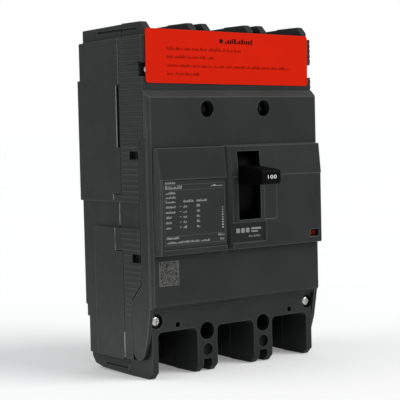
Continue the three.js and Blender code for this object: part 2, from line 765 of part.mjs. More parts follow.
// Steel yoke under the toggle: two legs on the pivot pins, joined by a bridge.
function toggleYoke() {
  const legSide = outline([
    [13.5, 84.5],
    [19, 84.2],
    [44.3, 88.6],
    [44.3, 95.4],
    [19, 91.8],
    [13.5, 91.2],
  ]);
  const legs = join(
    fromSide(legSide, TOGGLE_X - 9.1, TOGGLE_X - 7.9),
    fromSide(legSide, TOGGLE_X + 7.9, TOGGLE_X + 9.1),
  );
  const bridge = block(TOGGLE_X - 9.1, TOGGLE_X + 9.1, 42.6, 44.3, 88.6, 95.4);
  return cut(join(legs, bridge), rodAcross(TOGGLE_PIVOT, 1.8, -20, 20));
}

function togglePivotPin(x0, x1) {
  return rodAcross(TOGGLE_PIVOT, 1.5, x0, x1);
}

// ---------------------------------------------------------------- trip unit

function bimetal(x) {
  return join(block(x - 3, x + 3, 27.5, 28.7, 31, 50), block(x - 3, x + 3, 22.3, 28, 31, 35));
}

function magnetYoke(x) {
  return join(
    block(x - 8, x + 8, 16.8, 18.3, 37, 46),
    block(x - 8, x - 6.5, 16.8, 26.5, 37, 46),
    block(x + 6.5, x + 8, 16.8, 26.5, 37, 46),
  );
}

function armature(x) {
  return block(x - 8, x + 8, 30.5, 31.7, 36.5, 46);
}

function tripBar() {
  const pieces = [rodAcross(TRIP_AXIS, 2.5, -46, 48.4)];
  for (const x of POLES) {
    pieces.push(block(x - 1.5, x + 1.5, 31.5, 33, 47, 54));
    pieces.push(block(x - 1.5, x + 1.5, 31.5, 37.5, 52, 54));
  }
  pieces.push(block(BUTTON.x - 1.5, BUTTON.x + 1.5, 38.6, 40.6, 54, 63.8));
  return join(...pieces);
}

function latch() {
  const plate = block(6.1, 7.9, 30, 33, 50, 60.6);
  return join(plate, rodAcross(LATCH_AXIS, 1.2, 5.5, 15.4));
}

// Flat head with a square stem that reaches back to the trip bar.
function tripButton() {
  const { x, height } = BUTTON;
  return join(
    block(x - 2.6, x + 2.6, 55.6, 58.2, height - 1.4, height + 1.4),
    block(x - 1.6, x + 1.6, 41.2, 56, height - 1.1, height + 1.1),
  );
}

function tripButtonSpring() {
  const rear = new THREE.Vector3(BUTTON.x - 1.2, -(INNER_FACE + 0.6), BUTTON.height - 3);
  const front = new THREE.Vector3(BUTTON.x - 1.2, -(INNER_FACE + 4.4), BUTTON.height - 3);
  return coilSpring(rear, front, 0.9, 0.25, 4, 0.3);
}

// ---------------------------------------------------------------- fasteners

// Pan head screw with a cross slot, pointing to the rear.
function panScrew(x, height, seat, length, headRadius, headHeight) {
  const top = seat + headHeight;
  const head = rodForward(x, height, headRadius * 0.8, seat, top, 16, headRadius);
  const shank = rodForward(x, height, 1.6, seat - length, seat + 0.5, PIN_SIDES);
  const reach = headRadius * 0.62;
  const crossA = block(x - reach, x + reach, top - 1, top + 1, height - 0.4, height + 0.4);
  const crossB = block(x - 0.4, x + 0.4, top - 1, top + 1, height - reach, height + reach);
  return cut(join(head, shank), crossA, crossB);
}

// ---------------------------------------------------------------- assembly

const breaker = new THREE.Group();
breaker.position.z = -HEIGHT / 2;

function place(name, solid, look) {
  const made = solid.getMesh();
  const geometry = new THREE.BufferGeometry();
  geometry.setAttribute("position", new THREE.BufferAttribute(new Float32Array(made.vertProperties), 3));
  geometry.setIndex(new THREE.BufferAttribute(new Uint32Array(made.triVerts), 1));
  geometry.computeVertexNormals();
  const mesh = new THREE.Mesh(geometry, look);
  mesh.name = name;
  breaker.add(mesh);
}

place("base_housing", baseHousing(), CASE_PLASTIC);
place("mid_cover", midCover(), CASE_PLASTIC);
place("front_cover", frontCover(), CASE_PLASTIC);
place("line_end_label", lineEndLabel(), RED_FILM);
place("rating_label", ratingLabel(), DARK_FILM);

POLES.forEach((x, i) => {
  const pole = POLE_NAMES[i];
  place(`line_terminal_${pole}`, lineTerminal(x), TIN);
  place(`load_terminal_${pole}`, loadTerminal(x), TIN);
  place(`line_screw_${pole}`, terminalScrew(x, HEIGHT - TERMINAL_SCREW_FROM_END), BLACK_OXIDE);
  place(`load_screw_${pole}`, terminalScrew(x, TERMINAL_SCREW_FROM_END), BLACK_OXIDE);
  place(`arc_chute_${pole}`, arcChute(x), STEEL);
  place(`contact_arm_${pole}`, contactArm(x), COPPER);
  place(`flexible_braid_${pole}`, flexibleBraid(x), COPPER);
  place(`bimetal_${pole}`, bimetal(x), BIMETAL);
  place(`magnet_yoke_${pole}`, magnetYoke(x), STEEL);
  place(`armature_${pole}`, armature(x), STEEL);
});

place("crossbar", crossbar(), BARRIER_PLASTIC);
place("lower_link", lowerLink(), STEEL);
place("upper_link", upperLink(), STEEL);
place("knee_pin", kneePin(), ZINC);
place("cradle", cradle(), STEEL);
place("cradle_pin", cradlePin(), ZINC);
place("mechanism_plate_left", mechanismPlate(-5.6, -4.4, false), STEEL);
place("mechanism_plate_right", mechanismPlate(14.4, 15.6, true), STEEL);
place("main_spring", mainSpring(), ZINC);

place("toggle_lever", toggleLever(), TOGGLE_PLASTIC);
place("toggle_yoke", toggleYoke(), STEEL);
place("toggle_pivot_pin_left", togglePivotPin(-5.4, -2.7), ZINC);
place("toggle_pivot_pin_right", togglePivotPin(12.7, 15.4), ZINC);

place("trip_bar", tripBar(), BARRIER_PLASTIC);
place("latch", latch(), STEEL);
place("trip_button", tripButton(), BUTTON_PLASTIC);
place("trip_button_spring", tripButtonSpring(), ZINC);

for (const { x, height, name } of CORNER_SCREWS) {
  place(name, panScrew(x, height, TERMINAL_FACE - 2.3, 30, 2.5, 1.7), ZINC);
}
for (const [i, x] of PARTITIONS.entries()) {
  const name = ["front_cover_screw_left", "front_cover_screw_right"][i];
  place(name, panScrew(x, LID_SCREW_HEIGHT, 51.1, 10, 3.3, 2.2), BLACK_OXIDE);
}

export default breaker;
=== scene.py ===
"""Looks of the molded case breaker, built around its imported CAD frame.

Shapes are drawn in millimetres as (x, depth, height): x to the right seen from the front, depth
forwards from the rear mounting plane, height upwards from the lower end. They become metres in the
frame of the CAD part, with +Y to the rear and the origin at the centre of the rear mounting plane.
"""

import json
import math
import random

import bmesh
import bpy
import numpy
from mathutils import Matrix, Vector


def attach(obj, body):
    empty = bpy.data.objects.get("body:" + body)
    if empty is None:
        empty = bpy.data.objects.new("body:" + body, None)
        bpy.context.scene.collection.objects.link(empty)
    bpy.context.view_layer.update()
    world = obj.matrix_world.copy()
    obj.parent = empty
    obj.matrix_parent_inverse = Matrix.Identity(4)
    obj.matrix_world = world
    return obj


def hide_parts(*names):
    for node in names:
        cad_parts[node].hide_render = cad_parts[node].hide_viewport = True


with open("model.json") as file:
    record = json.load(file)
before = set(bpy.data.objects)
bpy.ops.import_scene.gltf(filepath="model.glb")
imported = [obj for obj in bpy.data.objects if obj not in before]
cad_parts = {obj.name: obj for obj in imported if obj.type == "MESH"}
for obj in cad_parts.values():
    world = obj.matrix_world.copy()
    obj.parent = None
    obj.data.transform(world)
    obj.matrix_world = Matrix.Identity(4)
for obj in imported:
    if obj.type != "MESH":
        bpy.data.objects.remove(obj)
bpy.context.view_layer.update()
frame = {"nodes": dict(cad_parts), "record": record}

# ---------------------------------------------------------------- driving dimensions, millimetres

MM = 0.001
HEIGHT = 165
HALF = 52.5  # half the width
PARTING = 34.8  # between the base housing and the mid cover
INNER_FACE = 49  # front of the mid cover under the front cover
TERMINAL_FACE = 53.1  # front of the mid cover at its two ends
COVER_FACE = 56.7
PANEL_FACE = 60
POLES = (-35, 0, 35)
POLE_NAMES = ("left", "centre", "right")
WELD = 0.002  # vertices closer than this are one

RIB_PITCH = 2.55
RIB_WIDTH = 1.0
RIB_DEPTH = 0.34
FAINT_RIB_DEPTH = RIB_DEPTH * 0.6
RECESS_HALF_WIDTH = 12  # of the lightening recesses in the rear face

LABEL_BOX = (-50, 50, 136.2, 161.1)  # left, right, low and high side of the red label
LABEL_REAR = 53.3
LABEL_FACE = 53.55
LABEL_CENTRE = (LABEL_BOX[2] + LABEL_BOX[3]) / 2
LABEL_TILT = 0.75  # degrees
RATING_BOX = (-47.1, -9.6, 60.6, 91.7)  # the same of the rating label
RATING_REAR = 59.5
RATING_FACE = 59.75
PLATE_FACE = PANEL_FACE - 0.8  # bottom of the polished recess under the toggle slot
BUTTON_FACE = 58.2
TOGGLE_X = 5
TOGGLE_TIP = 76
TOGGLE_NUMBER_HEIGHT = 92  # of its centre above the foot
TOGGLE_SLOT = (-1.9, 11.9, 71.5, 104.2)  # left, right, low and high side
LID_HOLE_REACH = 4  # radius that holds a cover screw's hole
PRINT = 0.06  # thickness of all printing
ONE_WORD = (9, 9)  # word lengths that fill a short line without a gap
SEED = 11

PALE_EDGE_WIDTH = 0.5  # of the paler band along molded edges
PAINTED_SHADE_REACH = 20  # how far apart the walls of a recess with painted shade may stand

CORNER_SCREWS = {
    "cover_screw_lower_left": (-47.1, 27),
    "cover_screw_lower_right": (47.1, 27),
    "cover_screw_upper_left": (-47.1, 143),
    "cover_screw_upper_right": (47.1, 143),
}
CORNER_SCREW_SEAT = 50.8
LID_SCREWS = {"front_cover_screw_left": (-17.5, 124.6), "front_cover_screw_right": (17.5, 124.6)}
LID_SCREW_SEAT = 51.1
TERMINAL_SCREW_HEIGHTS = {"load": 11, "line": 154}
TERMINAL_SCREW_SEAT = 25.8

CAMERA_PLACE = (-0.391777, -0.526118, 0.032426)  # metres
CAMERA_FORWARD = (0.616857, 0.785156, -0.05494)
CAMERA_UP = (0.052492, 0.028608, 0.998211)
CAMERA_LENS = 114.96

# ---------------------------------------------------------------- mesh helpers, millimetres


def point(x, depth, height):
    """A place on the object, in millimetres, on the axes of the CAD part."""
    return Vector((x, -depth, height - HEIGHT / 2))


def add_block(bm, x0, x1, d0, d1, h0, h1):
    corners = [
        bm.verts.new(point(x, d, h))
        for h in (h0, h1)
        for x, d in ((x0, d1), (x1, d1), (x1, d0), (x0, d0))
    ]
    for face in ((3, 2, 1, 0), (4, 5, 6, 7), (0, 1, 5, 4), (1, 2, 6, 5), (2, 3, 7, 6), (3, 0, 4, 7)):
        bm.faces.new([corners[i] for i in face])


def add_prism(bm, outline, place, low, high):
    """Closed prism over an outline; place(u, v, w) gives the point, and w runs from low to high."""
    rings = [[bm.verts.new(place(u, v, w)) for u, v in outline] for w in (low, high)]
    count = len(outline)
    faces = [bm.faces.new(rings[0][::-1]), bm.faces.new(rings[1])]
    for i in range(count):
        j = (i + 1) % count
        faces.append(bm.faces.new([rings[0][i], rings[0][j], rings[1][j], rings[1][i]]))
    bmesh.ops.recalc_face_normals(bm, faces=faces)


def from_front(u, v, w):
    """Section in (x, height) that runs along the depth."""
    return point(u, w, v)


def rounded_rectangle(u0, u1, v0, v1, radius, steps=6):
    outline = []
    quarter = math.pi / 2
    corners = ((u1, v0, -1, 1, -1), (u1, v1, -1, -1, 0), (u0, v1, 1, -1, 1), (u0, v0, 1, 1, 2))
    for u, v, su, sv, turn in corners:
        for i in range(steps + 1):
            angle = quarter * (turn + i / steps)
            outline.append((u + radius * (su + math.cos(angle)), v + radius * (sv + math.sin(angle))))
    return outline


def circle(u, v, radius, sides=32):
    step = 2 * math.pi / sides
    return [(u + radius * math.cos(i * step), v + radius * math.sin(i * step)) for i in range(sides)]


def add_lathe(bm, x, height, profile, sides):
    """Solid turned about a line along the depth; profile holds (radius, depth), from axis to axis."""
    rings = []
    for radius, depth in profile:
        if radius == 0:
            rings.append([bm.verts.new(point(x, depth, height))] * sides)
        else:
            ring = circle(x, height, radius, sides)
            rings.append([bm.verts.new(point(u, depth, v)) for u, v in ring])
    faces = []
    for first, second in zip(rings, rings[1:]):
        for i in range(sides):
            j = (i + 1) % sides
            corners = [first[i], first[j], second[j], second[i]]
            faces.append(bm.faces.new(list(dict.fromkeys(corners))))
    bmesh.ops.recalc_face_normals(bm, faces=faces)


def cad_solid(node):
    """The mesh of a CAD node in millimetres, as one welded surface."""
    bm = bmesh.new()
    bm.from_mesh(frame["nodes"][node].data)
    bmesh.ops.scale(bm, vec=(1 / MM,) * 3, verts=bm.verts)
    bmesh.ops.remove_doubles(bm, verts=bm.verts, dist=WELD)
    return bm


def merge_flat_faces(bm):
    """Joins neighbouring faces that lie in one plane, so that only real edges are left to round."""
    flat = math.radians(0.3)
    bmesh.ops.dissolve_limit(bm, angle_limit=flat, verts=bm.verts, edges=bm.edges)


def cut(bm, tool):
    """bm without the tool, as a new mesh; both inputs are used up."""
    objects = []
    for part in (bm, tool):
        mesh = bpy.data.meshes.new("cut_input")
        part.to_mesh(mesh)
        part.free()
        made = bpy.data.objects.new("cut_input", mesh)
        bpy.context.scene.collection.objects.link(made)
        objects.append(made)
    modifier = objects[0].modifiers.new("cut", "BOOLEAN")
    modifier.operation = "DIFFERENCE"
    modifier.solver = "EXACT"
    modifier.use_self = True
    modifier.object = objects[1]
    evaluated = objects[0].evaluated_get(bpy.context.evaluated_depsgraph_get())
    result = bmesh.new()
    result.from_mesh(evaluated.to_mesh())
    for made in objects:
        mesh = made.data
        bpy.data.objects.remove(made)
        bpy.data.meshes.remove(mesh)
    bmesh.ops.remove_doubles(result, verts=result.verts, dist=WELD)
    return result


def piece(name, bm, body, look, replaces=(), bevel=0.0, segments=2, smooth=40):
    """Makes a mesh in millimetres into a piece that rides on a body.

    look is its material, replaces the CAD nodes that it stands for, bevel the
    radius of its edges, and smooth the angle in degrees over which an edge counts as sharp."""
    merge_flat_faces(bm)
    if bevel:
        weigh_edges(bm, bevel, math.radians(smooth))
    bmesh.ops.scale(bm, vec=(MM,) * 3, verts=bm.verts)
    mesh = bpy.data.meshes.new(name)
    bm.to_mesh(mesh)
    bm.free()
    made = bpy.data.objects.new(name, mesh)
    bpy.context.scene.collection.objects.link(made)
    made.data.materials.append(look)
    soften(made, bevel, segments, smooth, "WEIGHT")
    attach(made, body)
    if replaces:
        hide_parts(*replaces)
    return made


def soften(made, width, segments, smooth, limit):
    """Rounds the sharp edges by width in millimetres and shades the result smoothly."""
    if width:
        bevel = made.modifiers.new("bevel", "BEVEL")
        bevel.width = width * MM
        bevel.segments = segments
        bevel.limit_method = limit
        bevel.angle_limit = math.radians(smooth)
        bevel.use_clamp_overlap = limit == "ANGLE"
        bevel.miter_outer = "MITER_ARC"
    made.data.shade_smooth()
    made.data.set_sharp_from_angle(angle=math.radians(smooth))
    normals = made.modifiers.new("normals", "WEIGHTED_NORMAL")
    normals.keep_sharp = True
    normals.weight = 100


def room_beside(edge, face):
    """Width of the face next to an edge, at its narrowest of three places."""
    start, end = edge.verts
    along = (end.co - start.co).normalized()
    inwards = face.normal.cross(along)
    others = [e for e in face.edges if not set(e.verts) & set(edge.verts)]
    if (face.calc_center_median() - start.co).dot(inwards) < 0:
        inwards = -inwards
    length = edge.calc_length()
    if not others:
        return length / 2
    ends = numpy.array([[e.verts[0].co - start.co, e.verts[1].co - start.co] for e in others])
    u = ends @ numpy.array(along)
    v = ends @ numpy.array(inwards)
    narrowest = math.inf
    for share in (0.1, 0.5, 0.9):
        place = length * share
        crossed = (u[:, 0] - place) * (u[:, 1] - place) < 0
        (u0, u1), (v0, v1) = u[crossed].T, v[crossed].T
        heights = v0 + (place - u0) / (u1 - u0) * (v1 - v0)
        ahead = heights[heights > 1e-4]
        if len(ahead):
            narrowest = min(narrowest, ahead.min())
    return narrowest


def corner_angles(edge):
    """Yields each edge that shares a face corner with this one, and the angle between the two."""
    for face in edge.link_faces:
        for vert in edge.verts:
            away = edge.other_vert(vert).co - vert.co
            for other in vert.link_edges:
                if other is not edge and face in other.link_faces:
                    yield other, away.angle(other.other_vert(vert).co - vert.co, 0)


WIDEST_SHARE = 0.42  # of the room beside an edge that its bevel may take
LEAST_WEIGHT = 0.15  # an edge that may be rounded less than this stays sharp
STRAIGHT_ON = math.radians(140)
ACUTE = math.radians(25)


def weigh_edges(bm, width, limit):
    """Bevel weights of the sharp edges: less where a face is narrow, none where too little is left.

    Where two edges meet almost in line or at an acute angle, both get the lesser weight, and
    this is repeated until nothing changes."""
    bm.normal_update()
    layer = bm.edges.layers.float.new("bevel_weight_edge")
    weights = {}
    for edge in bm.edges:
        if len(edge.link_faces) == 2 and edge.calc_face_angle() > limit:
            room = min(room_beside(edge, face) for face in edge.link_faces)
            weights[edge] = min(1, room / width * WIDEST_SHARE)
    settled = False
    while not settled:
        settled = True
        for edge in list(weights):
            for other, angle in corner_angles(edge):
                if ACUTE <= angle <= STRAIGHT_ON:
                    continue
                least = min(weights[edge], weights.get(other, 0))
                if least < weights[edge]:
                    weights[edge] = least
                    settled = False
                if other in weights and least < weights[other]:
                    weights[other] = least
                    settled = False
            if weights[edge] < LEAST_WEIGHT:
                del weights[edge]
                settled = False
    for edge, weight in weights.items():
        edge[layer] = weight


# ---------------------------------------------------------------- materials


def scaled(colour, factor):
    return tuple(c * factor for c in colour)


def base_material(name):
    """A new material with its node tree, its shader and the place on the object."""
    look = bpy.data.materials.new(name)
    look.use_nodes = True
    tree = look.node_tree
    shader = tree.nodes["Principled BSDF"]
    coordinates = tree.nodes.new("ShaderNodeTexCoord")
    return look, tree, shader, coordinates.outputs["Object"]


def noise(tree, where, scale, detail, roughness=0.5):
    """Cloudy pattern around 0.5; scale is in spots per metre."""
    node = tree.nodes.new("ShaderNodeTexNoise")
    node.inputs["Scale"].default_value = scale
    node.inputs["Detail"].default_value = detail
    node.inputs["Roughness"].default_value = roughness
    tree.links.new(where, node.inputs["Vector"])
    return node.outputs["Fac"]


def remap(tree, value, low, high, to_low, to_high):
    """Maps low..high to to_low..to_high and holds the ends."""
    node = tree.nodes.new("ShaderNodeMapRange")
    node.inputs["From Min"].default_value = low
    node.inputs["From Max"].default_value = high
    node.inputs["To Min"].default_value = to_low
    node.inputs["To Max"].default_value = to_high
    tree.links.new(value, node.inputs["Value"])
    return node.outputs["Result"]


def multiply(tree, first, second):
    node = tree.nodes.new("ShaderNodeMath")
    node.operation = "MULTIPLY"
    tree.links.new(first, node.inputs[0])
    tree.links.new(second, node.inputs[1])
    return node.outputs[0]


def blend(tree, factor, first, second):
    """Colour mix; first and second are colours or sockets."""
    node = tree.nodes.new("ShaderNodeMix")
    node.data_type = "RGBA"
    tree.links.new(factor, node.inputs["Factor"])
    for key, value in (("A", first), ("B", second)):
        socket = [s for s in node.inputs if s.name == key and s.type == "RGBA"][0]
        if isinstance(value, bpy.types.NodeSocket):
            tree.links.new(value, socket)
        else:
            socket.default_value = (*value, 1)
    return [s for s in node.outputs if s.type == "RGBA"][0]


def edge_mask(tree, radius):
    """1 along edges, 0 on flat faces, by how far a rounded normal turns from the true one."""
    rounded = tree.nodes.new("ShaderNodeBevel")
    rounded.samples = 6
    rounded.inputs["Radius"].default_value = radius * MM
    geometry = tree.nodes.new("ShaderNodeNewGeometry")
    dot = tree.nodes.new("ShaderNodeVectorMath")
    dot.operation = "DOT_PRODUCT"
    tree.links.new(rounded.outputs["Normal"], dot.inputs[0])
    tree.links.new(geometry.outputs["Normal"], dot.inputs[1])
    flat, turned = 0.9995, 0.976
    return remap(tree, dot.outputs["Value"], flat, turned, 0, 1)


def openness(tree, reach):
    """0 deep inside a recess, where the colour gets painted shade, and 1 where the surface lies open."""
    node = tree.nodes.new("ShaderNodeAmbientOcclusion")
    node.samples = 8
    node.inputs["Distance"].default_value = reach * MM
    deep, open_air = 0.25, 0.8
    return remap(tree, node.outputs["AO"], deep, open_air, 0, 1)


def inside_box(tree, where, centre, half):
    """1 inside a box given in millimetres, mirrored about x = 0; 0 outside."""
    split = tree.nodes.new("ShaderNodeSeparateXYZ")
    tree.links.new(where, split.inputs["Vector"])
    result = None
    for axis, middle, reach in zip("XYZ", centre, half):
        compare = tree.nodes.new("ShaderNodeMath")
        compare.operation = "COMPARE"
        value = split.outputs[axis]
        if axis == "X":
            size = tree.nodes.new("ShaderNodeMath")
            size.operation = "ABSOLUTE"
            tree.links.new(value, size.inputs[0])
            value = size.outputs[0]
        tree.links.new(value, compare.inputs[0])
        compare.inputs[1].default_value = middle * MM
        compare.inputs[2].default_value = reach * MM
        result = multiply(tree, result, compare.outputs[0]) if result else compare.outputs[0]
    return result


def bump(tree, shader, layers):
    """layers holds (height socket, depth in millimetres)."""
    previous = None
    for height, depth in layers:
        node = tree.nodes.new("ShaderNodeBump")
        node.inputs["Strength"].default_value = 1
        node.inputs["Distance"].default_value = depth * MM
        tree.links.new(height, node.inputs["Height"])
        if previous:
            tree.links.new(previous, node.inputs["Normal"])
        previous = node.outputs["Normal"]
    tree.links.new(previous, shader.inputs["Normal"])


def plastic(name, colour, pale_tone, roughness, edge_lightening, grain=0.02, specular=0.35, shade=0.3, highlight_boxes=()):
    """Molded plastic with spark-eroded grain and faint mottling, paler edges that are partly wear and
    partly painted highlight, and painted shade deep in recesses.

    pale_tone is the colour of the edges and edge_lightening how strongly it shows. grain is its depth
    in millimetres. shade is how much of the colour is left deep in a recess, where shade is painted.
    highlight_boxes holds boxes, as (centre, half size), in which an edge gets a painted highlight."""
    look, tree, shader, where = base_material(name)
    mottle = noise(tree, where, 35, 3)
    patches = noise(tree, where, 260, 4, 0.6)
    fine = noise(tree, where, 3200, 2)
    tone = blend(tree, remap(tree, mottle, 0.35, 0.65, 0, 1), scaled(colour, 0.85), scaled(colour, 1.2))
    # Paler edges, partly wear and partly painted highlight.
    strength = remap(tree, patches, 0.3, 0.7, edge_lightening * 0.6, edge_lightening)
    mask = multiply(tree, edge_mask(tree, PALE_EDGE_WIDTH), strength)
    tone = blend(tree, mask, tone, pale_tone)
    # Painted highlights on the parting edges inside the given boxes.
    for centre, half in highlight_boxes:
        inside = inside_box(tree, where, centre, half)
        highlight_share = multiply(tree, inside, remap(tree, patches, 0.35, 0.5, 0.4, 1))
        tone = blend(tree, highlight_share, tone, PARTING_EDGE_HIGHLIGHT)
    # Painted shade: the colour darkens deep in recesses.
    tone = blend(tree, openness(tree, PAINTED_SHADE_REACH), scaled(colour, shade), tone)
    tree.links.new(tone, shader.inputs["Base Color"])
    spread = remap(tree, patches, 0.3, 0.7, roughness - 0.05, roughness + 0.06)
    tree.links.new(spread, shader.inputs["Roughness"])
    shader.inputs["Specular IOR Level"].default_value = specular
    bump(tree, shader, [(mottle, 0.12), (fine, grain)])
    return look


def metal(name, colour, dark, roughness):
    """Plated or bare metal with fine drawing marks, a dull film in patches and bright edges."""
    look, tree, shader, where = base_material(name)
    mapping = tree.nodes.new("ShaderNodeMapping")
    mapping.inputs["Scale"].default_value = (1, 1, 9)
    tree.links.new(where, mapping.inputs["Vector"])
    marks = noise(tree, mapping.outputs["Vector"], 900, 3, 0.6)
    patches = noise(tree, where, 420, 3, 0.6)
    dull = blend(tree, remap(tree, patches, 0.35, 0.68, 0, 0.8), colour, dark)
    bright = tuple(min(1, c * 1.15) for c in colour)
    tree.links.new(blend(tree, edge_mask(tree, 0.25), dull, bright), shader.inputs["Base Color"])
    spread = remap(tree, marks, 0.3, 0.7, roughness - 0.07, roughness + 0.1)
    tree.links.new(spread, shader.inputs["Roughness"])
    shader.inputs["Metallic"].default_value = 1
    bump(tree, shader, [(marks, 0.006)])
    return look


def film(name, colour, pale_tone, roughness, specular):
    """Printed adhesive film: slightly wavy, with dust and rubbed edges."""
    look, tree, shader, where = base_material(name)
    waves = noise(tree, where, 60, 2)
    dust = noise(tree, where, 1500, 4, 0.7)
    tone = blend(tree, remap(tree, waves, 0.3, 0.7, 0, 0.35), colour, scaled(colour, 0.86))
    speckled = blend(tree, remap(tree, dust, 0.68, 0.85, 0, 0.3), tone, pale_tone)
    tree.links.new(blend(tree, edge_mask(tree, 0.2), speckled, pale_tone), shader.inputs["Base Color"])
    spread = remap(tree, dust, 0.3, 0.7, roughness - 0.05, roughness + 0.08)
    tree.links.new(spread, shader.inputs["Roughness"])
    shader.inputs["Specular IOR Level"].default_value = specular
    bump(tree, shader, [(waves, 0.15), (dust, 0.004)])
    return look


def ink(name, colour, faded):
    """Screen print with thin and thick places."""
    look, tree, shader, where = base_material(name)
    cover = noise(tree, where, 2400, 3, 0.7)
    tone = blend(tree, remap(tree, cover, 0.35, 0.75, 0, 0.7), colour, faded)
    tree.links.new(tone, shader.inputs["Base Color"])
    tree.links.new(remap(tree, cover, 0.3, 0.7, 0.5, 0.7), shader.inputs["Roughness"])
    shader.inputs["Specular IOR Level"].default_value = 0.03
    bump(tree, shader, [(cover, 0.004)])
    return look


# Colour of the painted highlight on some parting edges of the base housing.
PARTING_EDGE_HIGHLIGHT = (0.32, 0.32, 0.31)
CASE_TONE = (0.0155, 0.0178, 0.0172)
# Edge colours of the plastics, partly wear and partly painted highlight.
CASE_WEAR_AND_HIGHLIGHT = (0.062, 0.068, 0.066)
COVER_WEAR_AND_HIGHLIGHT = (0.1, 0.108, 0.105)
# Parting edges of the base housing that get a painted highlight: near the top, beside the shadow
# gap, around the tongues of the mid cover, and at the foot.
HIGHLIGHTED_PARTING_EDGES = (
    (tuple(point(52.6, 34.5, 147.5)), (0.6, 0.05, 10.5)),
    (tuple(point(52.6, 32.45, 122)), (0.6, 0.13, 14.3)),
    (tuple(point(51.6, 31.25, 77)), (2, 0.16, 6)),
    (tuple(point(52.6, 28.35, 84.3)), (0.6, 0.13, 1.5)),
    (tuple(point(52.6, 28.55, 65)), (0.6, 0.1, 6)),
    (tuple(point(52.6, 34.5, 14.2)), (0.6, 0.2, 6.6)),
    (tuple(point(51, 34.5, 3.6)), (1.6, 0.25, 1.6)),
)

CASE = plastic("case_plastic", CASE_TONE, CASE_WEAR_AND_HIGHLIGHT, 0.52, 1, specular=0.18, shade=0.45)
BASE = plastic("base_plastic", CASE_TONE, CASE_WEAR_AND_HIGHLIGHT, 0.52, 1, specular=0.18, shade=0.45, highlight_boxes=HIGHLIGHTED_PARTING_EDGES)
COVER = plastic("cover_plastic", CASE_TONE, COVER_WEAR_AND_HIGHLIGHT, 0.52, 1, specular=0.18, shade=0.6)
# Lighter copies of the cover plastic for its slanted faces: painted light.
LIT_CHAMFER = plastic("painted_light_chamfer", scaled(CASE_TONE, 1.75), COVER_WEAR_AND_HIGHLIGHT, 0.5, 1, specular=0.18)
LIT_FLANK = plastic("painted_light_flank", scaled(CASE_TONE, 2.3), COVER_WEAR_AND_HIGHLIGHT, 0.5, 1, specular=0.18, shade=0.6)
POLISHED = plastic(
    "polished_pad", (0.0098, 0.0112, 0.0108), CASE_WEAR_AND_HIGHLIGHT, 0.4, 0.4, grain=0.003, specular=0.15, shade=0.6
)
SHADED = plastic("shaded_wall", (0.003, 0.0034, 0.0033), (0.01, 0.011, 0.011), 0.6, 0.5, specular=0.08)
TOGGLE = plastic(
    "toggle_plastic", (0.002, 0.0021, 0.0021), (0.014, 0.014, 0.014), 0.5, 0.4, grain=0.008, specular=0.04
)
BUTTON = plastic(
    "button_plastic", (0.2, 0.006, 0.004), (0.3, 0.03, 0.02), 0.5, 0.5, grain=0.006, specular=0.1, shade=0.6
)
FIBRE = plastic("fibre_plastic", (0.12, 0.055, 0.024), (0.2, 0.11, 0.06), 0.6, 0.5, grain=0.03)
RED_FILM = film("red_film", (0.61, 0.0138, 0.0028), (0.62, 0.038, 0.014), 0.6, 0.02)
DARK_FILM = film("dark_film", (0.0125, 0.0142, 0.0139), (0.04, 0.044, 0.043), 0.45, 0.25)
COPPER = metal("copper", (0.72, 0.36, 0.2), (0.4, 0.19, 0.11), 0.34)
TIN = metal("tin_plate", (0.42, 0.42, 0.41), (0.25, 0.25, 0.24), 0.45)
ZINC = metal("zinc_plate", (0.6, 0.6, 0.57), (0.36, 0.36, 0.34), 0.28)
BLACK_OXIDE = metal("black_oxide", (0.03, 0.03, 0.031), (0.012, 0.012, 0.0125), 0.4)
STEEL = metal("steel", (0.42, 0.43, 0.44), (0.24, 0.24, 0.25), 0.36)
BIMETAL = metal("bimetal", (0.5, 0.45, 0.37), (0.3, 0.27, 0.22), 0.32)
FRAME_INK = ink("frame_ink", (0.1, 0.104, 0.1), (0.065, 0.069, 0.065))
SPECKLE_INK = ink("speckle_ink", (0.13, 0.13, 0.125), (0.09, 0.09, 0.086))
PLATE_INK = ink("plate_ink", (0.25, 0.26, 0.25), (0.15, 0.16, 0.15))
PALE_INK = ink("pale_ink", (0.36, 0.37, 0.35), (0.24, 0.25, 0.24))
WHITE_INK = ink("white_ink", (0.85, 0.85, 0.84), (0.62, 0.62, 0.61))
DARK_INK = ink("dark_ink", (0.12, 0.004, 0.001), (0.3, 0.006, 0.001))
BLACK_INK = ink("black_ink", (0.014, 0.004, 0.003), (0.05, 0.005, 0.003))

# ---------------------------------------------------------------- case


def ladder(low, high):
    """Heights from low to high, a rib pitch apart."""
    steps = int((high - low) / RIB_PITCH)
    return [low + i * RIB_PITCH for i in range(steps + 1)]


def rib_cuts():
    """Horizontal V grooves in both side walls of the mid cover, fainter below its upper end."""
    bm = bmesh.new()
    rows = [(low, TERMINAL_FACE + 1, RIB_DEPTH) for low in ladder(110.5, 157)]
    rows += [(low, INNER_FACE + 1, FAINT_RIB_DEPTH) for low in ladder(84, 108.5)]
    rows += [(low, INNER_FACE + 1, FAINT_RIB_DEPTH) for low in ladder(26, 69)]
    for side in (-1, 1):
        for low, front, rib_depth in rows:
            deep = side * (HALF - rib_depth)
            open_side = side * (HALF + 1)
            section = [
                (deep, low + RIB_WIDTH * 0.35),
                (open_side, low - RIB_WIDTH * 0.9),
                (open_side, low + RIB_WIDTH),
                (deep, low + RIB_WIDTH * 0.6),
            ]
            add_prism(bm, section, from_front, PARTING - 1, front)
    return bm


